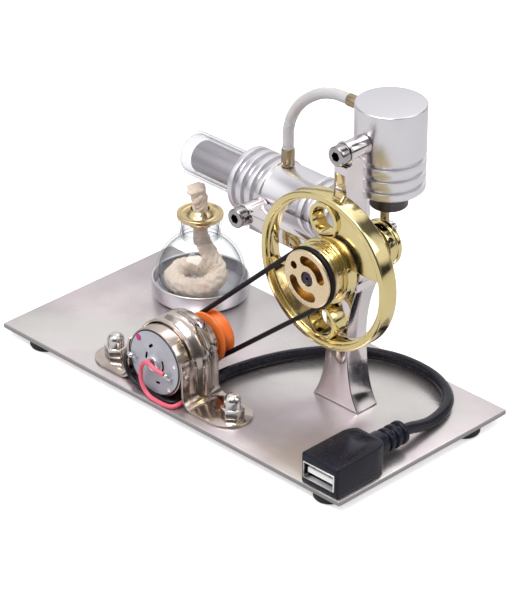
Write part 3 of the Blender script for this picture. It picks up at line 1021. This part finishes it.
half = 8.0
plan = [(-half, -40.1), (half, -40.1), (half, -22.4)] + [(half - 3.4 * (1 - math.cos(math.radians(a))), -22.4 + 6.2 * math.sin(math.radians(a))) for a in range(10, 91, 10)]
plan += [(-x, y) for x, y in plan[:1:-1]]
plan = [(USB_X + x, y) for x, y in plan]
usb_housing = bevel(prism("usb_housing", plan, "Z", 0.15, 11.4, OVERMOULD), 0.9, 4, 60.0)
relief = [(0, -17.0), (4.5, -17.0), (4.3, -11.6), (3.2, -11.2)]
for y in (-10.3, -7.1, -3.9):
    relief += [(3.2, y), (4.1, y + 0.2), (4.1, y + 1.8), (3.2, y + 2.0)]
relief += [(3.2, -1.6), (0, -1.6)]
boolean(usb_housing, lathe("add_strain_relief", relief, "Y", (USB_X, 0, 5.7), 16, OVERMOULD, helper=True, r=0.35), "UNION")
boolean(usb_housing, rod("cut_cable_bore", 2.15, -14.0, 0.0, "Y", (USB_X, 0, 5.7), 12, None, helper=True))
dish = ellipsoid("cut_finger_dish", (USB_X, -21.2, 13.0), (5.4, 4.6, 2.1))
boolean(usb_housing, dish)
boolean(usb_housing, box("cut_usb_mouth", USB_X - 6.95, USB_X + 6.95, -42.0, -26.6, 2.5, 8.9, None, True))
shell = bevel(box("usb_shell", USB_X - 6.8, USB_X + 6.8, -40.6, -28.4, 2.65, 8.75, SHELL), 0.3, 3, 60.0)
boolean(shell, bevel(box("cut_usb_shell", USB_X - 6.45, USB_X + 6.45, -42.0, -27.0, 3.0, 8.4, None, True), 0.2, 2))
tongue = box("usb_insulator", USB_X - 6.3, USB_X + 6.3, -29.4, -26.8, 3.15, 8.25, WHITE)
boolean(tongue, bevel(box("add_usb_tongue", USB_X - 5.6, USB_X + 5.6, -39.4, -29.0, 4.6, 6.5, WHITE, True), 0.15, 2), "UNION")

red_path = spline(
    [
        (-1.5, -38.6, 11.9), (-4.6, -39.2, 12.6), (-7.4, -39.25, 13.6), (-9.6, -39.25, 13.3), (-11.2, -39.25, 11.3), (-11.7, -39.25, 8.5), (-11.4, -39.25, 5.4), (-9.7, -39.25, 2.7),
        (-7.2, -39.25, 1.2), (-4.0, -39.25, 0.85), (-0.4, -39.2, 0.85), (2.3, -38.4, 1.0), (3.4, -36.6, 1.5), (3.4, -34.0, 1.6), (3.3, -28.0, 1.6), (3.2, -21.0, 1.7), (2.3, -19.6, 2.1), (1.6, -18.45, 2.5),
    ],
    6,
)
sweep("red_wire", red_path, 0.75, 6, RED, round_ends=0.2)
black_path = spline(
    [
        (MOTOR_X - 11.1, -38.6, 11.7), (-20.1, -38.3, 9.6), (-20.4, -37.5, 6.3), (-18.2, -37.4, 3.2), (-13.6, -37.4, 1.5), (-8.6, -37.4, 1.05), (-4.2, -37.4, 0.95), (-1.0, -37.2, 0.95),
        (0.9, -35.9, 0.95), (1.3, -33.0, 0.95), (1.2, -28.0, 0.95), (1.0, -21.0, 0.95), (0.5, -19.6, 1.2), (0.1, -18.45, 1.5),
    ],
    6,
)
sweep("black_wire", black_path, 0.8, 6, BLACK_WIRE, round_ends=0.2)

# ---------------------------------------------------------------- spirit lamp
LP = (LAMP_X, LAMP_Y, 0)
cup = [(0, 0.15), (16.1, 0.15), (17.2, 1.1), (17.2, 6.3), (17.0, 6.7), (16.5, 6.7), (16.25, 6.3), (16.25, 1.6), (0, 1.6)]
lathe("lamp_cup", cup, "Z", LP, 34, ALU, r=0.3)


def bulb(offset, n):
    low = [(10.2 + (5.5 - offset) * math.cos(math.radians(a)), 8.2 - (6.35 - offset) * math.sin(math.radians(a))) for a in range(90, 4, -8)]
    top = math.degrees(math.acos((7.0 - offset) / (15.7 - offset)))
    return low + [((15.7 - offset) * math.cos(math.radians(top * i / n)), 8.2 + (15.2 - offset) * math.sin(math.radians(top * i / n))) for i in range(n + 1)]


outer = [(0, 1.85)] + bulb(0.0, 20)[:-1] + [(7.35, 21.75), (7.45, 22.2), (7.2, 22.75), (7.1, 23.2), (7.15, 23.6), (7.4, 25.4), (7.6, 26.8), (7.8, 28.3), (7.95, 29.6)]
inner = [(7.05, 29.6), (6.7, 26.8), (6.45, 25.4), (6.25, 23.6), (6.05, 22.9), (6.0, 22.2)] + bulb(1.0, 20)[::-1] + [(0, 2.85)]
lathe("lamp_glass", outer + inner, "Z", LP, 34, GLASS)
cap = [(3.35, 26.9), (4.0, 26.9), (4.25, 27.15), (4.3, 28.9), (6.2, 29.45), (6.4, 29.75), (7.8, 29.75), (8.2, 30.1), (8.2, 31.4), (7.8, 31.6), (7.4, 31.4), (6.6, 30.8), (5.8, 30.65), (5.1, 31.0), (4.4, 31.8), (3.9, 32.6), (3.55, 32.95), (3.35, 32.95)]
lathe("lamp_cap", cap, "Z", LP, 30, CAP_BRASS, r=0.3)

wick = [(-0.3, -1.6, 41.5, 1.18), (-0.2, -1.0, 38.6, 1.08), (0.0, -0.2, 35.6, 0.95), (0.0, 0.0, 32.0, 0.95), (0.0, 0.0, 24.5, 0.95), (0.5, 0.1, 21.4, 1.0), (2.1, 0.6, 18.4, 1.04), (4.0, 1.2, 15.2, 1.08), (5.9, 1.8, 12.2, 1.12)]
wick += [(0.3 + 8.0 * math.cos(math.radians(a)), -2.0 + 8.0 * math.sin(math.radians(a)), max(6.75, 9.5 - 0.07 * (20 - a)), 1.22) for a in range(20, -275, -29)]
wick = spline(wick, 10)
wick_len = [0.0]
for a, b in zip(wick, wick[1:]):
    wick_len.append(wick_len[-1] + (Vector(a[:3]) - Vector(b[:3])).length)


def cord(i, a):
    """Soft cotton cord: plump strands twisted loosely round each other, lumpy and a little hairy."""
    s = wick_len[min(i, len(wick_len) - 1)]
    twist = s / 12.0 * 2 * math.pi
    strand = max(math.cos(a * 1.0 - twist - k * 2 * math.pi / 5) for k in range(5))
    strand = (strand - 0.905) / 0.095
    c, d = math.cos(a - twist * 0.35), math.sin(a - twist * 0.35)
    lump = noise.noise(Vector((c * 1.1, d * 1.1, s * 0.42)))
    knot = noise.noise(Vector((c * 2.3 + 7.0, d * 2.3, s * 0.95)))
    fuzz = noise.noise(Vector((math.cos(a) * 7.0, math.sin(a) * 7.0, s * 3.1)))
    loose = 1.0 if s < 8.0 or s > 20.0 else 0.55
    return 2.8 * wick[i][3] - 0.12 + loose * (0.13 * strand + (0.80 if s < 8.0 else 0.45) * lump + (0.62 if s < 8.0 else 0.50) * knot + 0.24 * fuzz)


sweep("lamp_wick", [(LAMP_X + x, LAMP_Y + y, z) for x, y, z, _ in wick], 2.8, 24, COTTON, radius=cord, round_ends=0.7)


# ---------------------------------------------------------------- small pieces that share a CAD node with the shape they sit on
EXTRA = {}  # piece name: (its object, the node it belongs to)


def extra(name, node):
    """Takes a finished piece out of the node list and hangs it on another node's body and slot."""
    EXTRA[name] = (PIECES.pop(name), node)


def blob(name, node, at, size, mat, seed=0.0, seg=24):
    """Uneven bead, such as a lump of solder or a drop of paint, flattened by its three half sizes."""
    bm = bmesh.new()
    bmesh.ops.create_uvsphere(bm, u_segments=seg, v_segments=seg // 2, radius=1.0)
    for v in bm.verts:
        lump = 1.0 + 0.13 * noise.noise(v.co * 1.9 + Vector((seed, seed * 0.7, 3.0)))
        v.co = Vector(((at[0] + v.co.x * size[0] * lump) * S, (at[1] + v.co.y * size[1] * lump) * S, (at[2] + ZP + v.co.z * size[2] * lump) * S))
    add(name, bm, mat)
    extra(name, node)


blob("solder_right", "motor_end_plate", (MOTOR_X + 6.9, -37.9, MOTOR_Z - 1.6), (1.3, 0.9, 0.95), SOLDER, 1.0)
blob("solder_left", "motor_end_plate", (MOTOR_X - 10.0, -37.7, MOTOR_Z - 0.4), (1.5, 1.2, 1.0), SOLDER, 5.0)
blob("paint_dot", "motor_end_plate", (MOTOR_X - 7.4, -36.47, MOTOR_Z + 6.8), (1.25, 0.14, 1.25), DOT, 2.0)

for i in range(4):
    x = USB_X - 3.5 + i * (7.0 / 3)
    bevel(box(f"usb_contact_{i + 1}", x - 0.5, x + 0.5, -39.0 + (0.8 if i in (1, 2) else 0.0), -29.5, 6.44, 6.62, GOLD), 0.05)
    extra(f"usb_contact_{i + 1}", "usb_insulator")


def fibres(name, node, count, base_z, length, spread, mat, turn):
    """Loose cotton ends standing out of the wick's tip."""
    bm = bmesh.new()
    bm.loops.layers.uv.new("UVMap")
    for i in range(count):
        t = i / count
        ang = i * 2.399963 + turn
        rad = spread * math.sqrt(t)
        lean = Vector((math.cos(ang), math.sin(ang), 0.0)) * (0.25 + 0.75 * t)
        top = length * (0.6 + 0.4 * noise.noise(Vector((i * 0.37, turn, 1.0))) + 0.2)
        p0 = Vector((LAMP_X - 0.3 + rad * math.cos(ang), LAMP_Y - 1.6 + rad * math.sin(ang), base_z - 0.8))
        p1 = p0 + Vector((0, -0.15, 1)) * top * 0.6 + lean * 0.22
        p2 = p0 + Vector((0, -0.2, 1)) * top + lean * (0.55 + 0.3 * noise.noise(Vector((i * 0.9, 2.0, turn))))
        pts = [p0, p1, p2]
        rr = (0.14, 0.11, 0.03)
        loops = []
        for p, q in zip(pts, rr):
            loops.append([bm.verts.new((p + Vector((math.cos(k * 2.0944), math.sin(k * 2.0944), 0)) * q + Vector((0, 0, ZP))) * S) for k in range(3)])
        for a, b in zip(loops, loops[1:]):
            for k in range(3):
                bm.faces.new((a[k], a[(k + 1) % 3], b[(k + 1) % 3], b[k]))
    add(name, bm, mat)
    extra(name, node)


fibres("wick_ends", "lamp_wick", 150, 41.6, 1.25, 2.6, COTTON, 0.0)

end_boss = [(1.4, -37.32), (2.75, -37.32), (2.75, -37.5), (2.45, -37.75), (1.75, -37.75), (1.4, -37.5)]
lathe("end_boss", end_boss, "Y", MT, 16, BOSS_WHITE, r=0.1)
extra("end_boss", "motor_end_plate")
lathe("end_seam", [(11.36, -36.44), (11.62, -36.44), (11.62, -36.3), (11.36, -36.3)], "Y", MT, 30, SLOTBLACK, r=0)
extra("end_seam", "motor_end_plate")

# thick glass at the foot of the lamp's neck, seen as dark crescents at its sides
neck_foot = [(6.15, 22.5), (6.9, 22.35), (7.05, 22.9), (6.98, 24.1), (6.75, 24.9), (6.45, 24.9), (6.3, 23.8)]
lathe("neck_foot", neck_foot, "Z", LP, 30, NECK_GLASS, r=0)
extra("neck_foot", "lamp_glass")


# ---------------------------------------------------------------- every piece becomes one plain mesh that rides on its CAD body
bpy.context.view_layer.update()
graph = bpy.context.evaluated_depsgraph_get()
final = {}
for name, obj in PIECES.items():
    final[name] = (obj, name)
for name, (obj, node) in EXTRA.items():
    final[name] = (obj, node)
for name, (obj, node) in final.items():
    if obj.modifiers:
        mesh = bpy.data.meshes.new_from_object(obj.evaluated_get(graph))
        obj.modifiers.clear()
        obj.data = mesh
        shade(mesh, obj["smooth"])
    del obj["smooth"]
for helper in HELPERS:
    bpy.data.objects.remove(helper, do_unlink=True)
for name, (obj, node) in final.items():
    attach(obj, BODY[node])
    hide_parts(node)
missing = sorted(set(frame["nodes"]) - set(PIECES))
if missing:
    raise RuntimeError(f"no fine piece for {missing}")


# ---------------------------------------------------------------- studio: white sweep, soft boxes, camera
def floor_material():
    n = Nodes("studio_floor")
    tone = n.noise(3.0, 2.0)
    seen = n.new("ShaderNodeLightPath").outputs["Is Camera Ray"]
    n.set("Base Color", n.mix(seen, (0.52, 0.515, 0.515), n.mix(tone, (0.93, 0.93, 0.93), (0.96, 0.96, 0.96))))
    n.set("Roughness", 0.9)
    n.set("Specular IOR Level", 0.1)
    n.set("Emission Color", (1.0, 1.0, 1.0))
    n.set("Emission Strength", n.math("ADD", n.math("MULTIPLY", seen, 0.42), 0.08))
    return n.mat


bm = bmesh.new()
corners = [bm.verts.new((x, y, 0.0)) for x, y in ((-2.2, -2.2), (2.2, -2.2), (2.2, 2.2), (-2.2, 2.2))]
bm.faces.new(corners)
mesh = bpy.data.meshes.new("studio_floor")
bm.to_mesh(mesh)
bm.free()
floor = bpy.data.objects.new("studio_floor", mesh)
bpy.context.scene.collection.objects.link(floor)
mesh.materials.append(floor_material())

azimuth, elevation, roll = 0.7815689920, 0.5136512393, 0.0046388187

world = bpy.data.worlds.new("studio")
bpy.context.scene.world = world
world.use_nodes = True
nt = world.node_tree
nt.nodes.clear()
w_out = nt.nodes.new("ShaderNodeOutputWorld")
w_bg = nt.nodes.new("ShaderNodeBackground")
nt.links.new(w_bg.outputs[0], w_out.inputs[0])
w_tex = nt.nodes.new("ShaderNodeTexCoord")


def w_math(op, a, b=0.0, c=None):
    m = nt.nodes.new("ShaderNodeMath")
    m.operation = op
    for socket, value in zip(m.inputs, (a, b, c)):
        if value is None:
            continue
        if isinstance(value, (int, float)):
            socket.default_value = value
        else:
            nt.links.new(value, socket)
    return m.outputs[0]


def w_dot(vec):
    d = nt.nodes.new("ShaderNodeVectorMath")
    d.operation = "DOT_PRODUCT"
    nt.links.new(w_tex.outputs["Generated"], d.inputs[0])
    d.inputs[1].default_value = vec
    return d.outputs["Value"]


def w_step(value, low, high):
    """0 below low, 1 above high, smooth between."""
    r = nt.nodes.new("ShaderNodeMapRange")
    r.interpolation_type = "SMOOTHSTEP"
    r.inputs["From Min"].default_value = low
    r.inputs["From Max"].default_value = high
    nt.links.new(value, r.inputs["Value"])
    return r.outputs["Result"]


def direction(az_deg, el_deg):
    """Unit vector at an azimuth counted from the camera side, positive to the camera's right, and an elevation."""
    a = azimuth + math.radians(az_deg)
    e = math.radians(el_deg)
    return (math.sin(a) * math.cos(e), -math.cos(a) * math.cos(e), math.sin(e))


def soft_box(az_deg, el_deg, half_angle, feather, power):
    d = w_dot(direction(az_deg, el_deg))
    return w_math("MULTIPLY", w_step(d, math.cos(math.radians(half_angle + feather)), math.cos(math.radians(half_angle))), power)


up = w_dot((0, 0, 1))
toward = w_dot(direction(0, 0))
total = w_math("MULTIPLY_ADD", w_step(up, -0.1, 0.9), 0.16, 0.27)
total = w_math("SUBTRACT", total, w_math("MULTIPLY", w_step(toward, 0.25, 0.95), 0.20))
for box_ in ((82, 2, 6, 7, 0.26), (112, 44, 13, 13, 0.28)):
    total = w_math("SUBTRACT", total, soft_box(*box_))
for box_ in ((0, 88, 30, 10, 0.50), (-75, 30, 20, 9, 0.78), (146, 54, 12, 9, 0.9), (90, 24, 11, 9, 0.62), (180, 27, 34, 14, 0.52), (-20, 56, 12, 7, 0.6)):
    total = w_math("ADD", total, soft_box(*box_))
total = w_math("MAXIMUM", total, 0.03)
seen = nt.nodes.new("ShaderNodeLightPath").outputs["Is Camera Ray"]
total = w_math("ADD", w_math("MULTIPLY", total, w_math("SUBTRACT", 1.0, seen)), seen)
nt.links.new(total, w_bg.inputs["Strength"])
w_bg.inputs["Color"].default_value = (1.0, 0.995, 0.99, 1.0)


def area(name, az_deg, el_deg, distance, size, power, target=(0.0, 0.0, 0.04)):
    light = bpy.data.lights.new(name, "AREA")
    light.shape = "RECTANGLE"
    light.size, light.size_y = size
    light.energy = power
    obj = bpy.data.objects.new(name, light)
    bpy.context.scene.collection.objects.link(obj)
    obj.location = Vector(target) + Vector(direction(az_deg, el_deg)) * distance
    obj.rotation_euler = (Vector(target) - obj.location).to_track_quat("-Z", "Y").to_euler()
    return obj


area("key", -35, 62, 1.1, (0.7, 0.5), 8.0)
area("fill", 70, 40, 1.2, (0.6, 0.6), 2.2)

camera_data = bpy.data.cameras.new("camera")
camera = bpy.data.objects.new("camera", camera_data)
bpy.context.scene.collection.objects.link(camera)
bpy.context.scene.camera = camera
FOCAL, TX, TY, DIST = 3349.8719, 1.8780302, 21.9410437, 1129.2254824
back = Vector((math.sin(azimuth) * math.cos(elevation), -math.cos(azimuth) * math.cos(elevation), math.sin(elevation)))
right_ = Vector((math.cos(azimuth), math.sin(azimuth), 0.0))
up_ = back.cross(right_)
c, s = math.cos(roll), math.sin(roll)
ax, ay = right_ * c + up_ * s, right_ * -s + up_ * c
place_ = ax * TX + ay * TY + back * DIST
m = Matrix(((ax.x, ay.x, back.x, place_.x * S), (ax.y, ay.y, back.y, place_.y * S), (ax.z, ay.z, back.z, (place_.z + ZP) * S), (0, 0, 0, 1)))
camera.matrix_world = m
camera_data.sensor_fit = "AUTO"
camera_data.sensor_width = 36.0
camera_data.lens = FOCAL * 36.0 / 600.0
camera_data.clip_start = 0.01
camera_data.clip_end = 20.0
bpy.context.scene.view_settings.view_transform = "Standard"
bpy.context.scene.view_settings.look = "None"
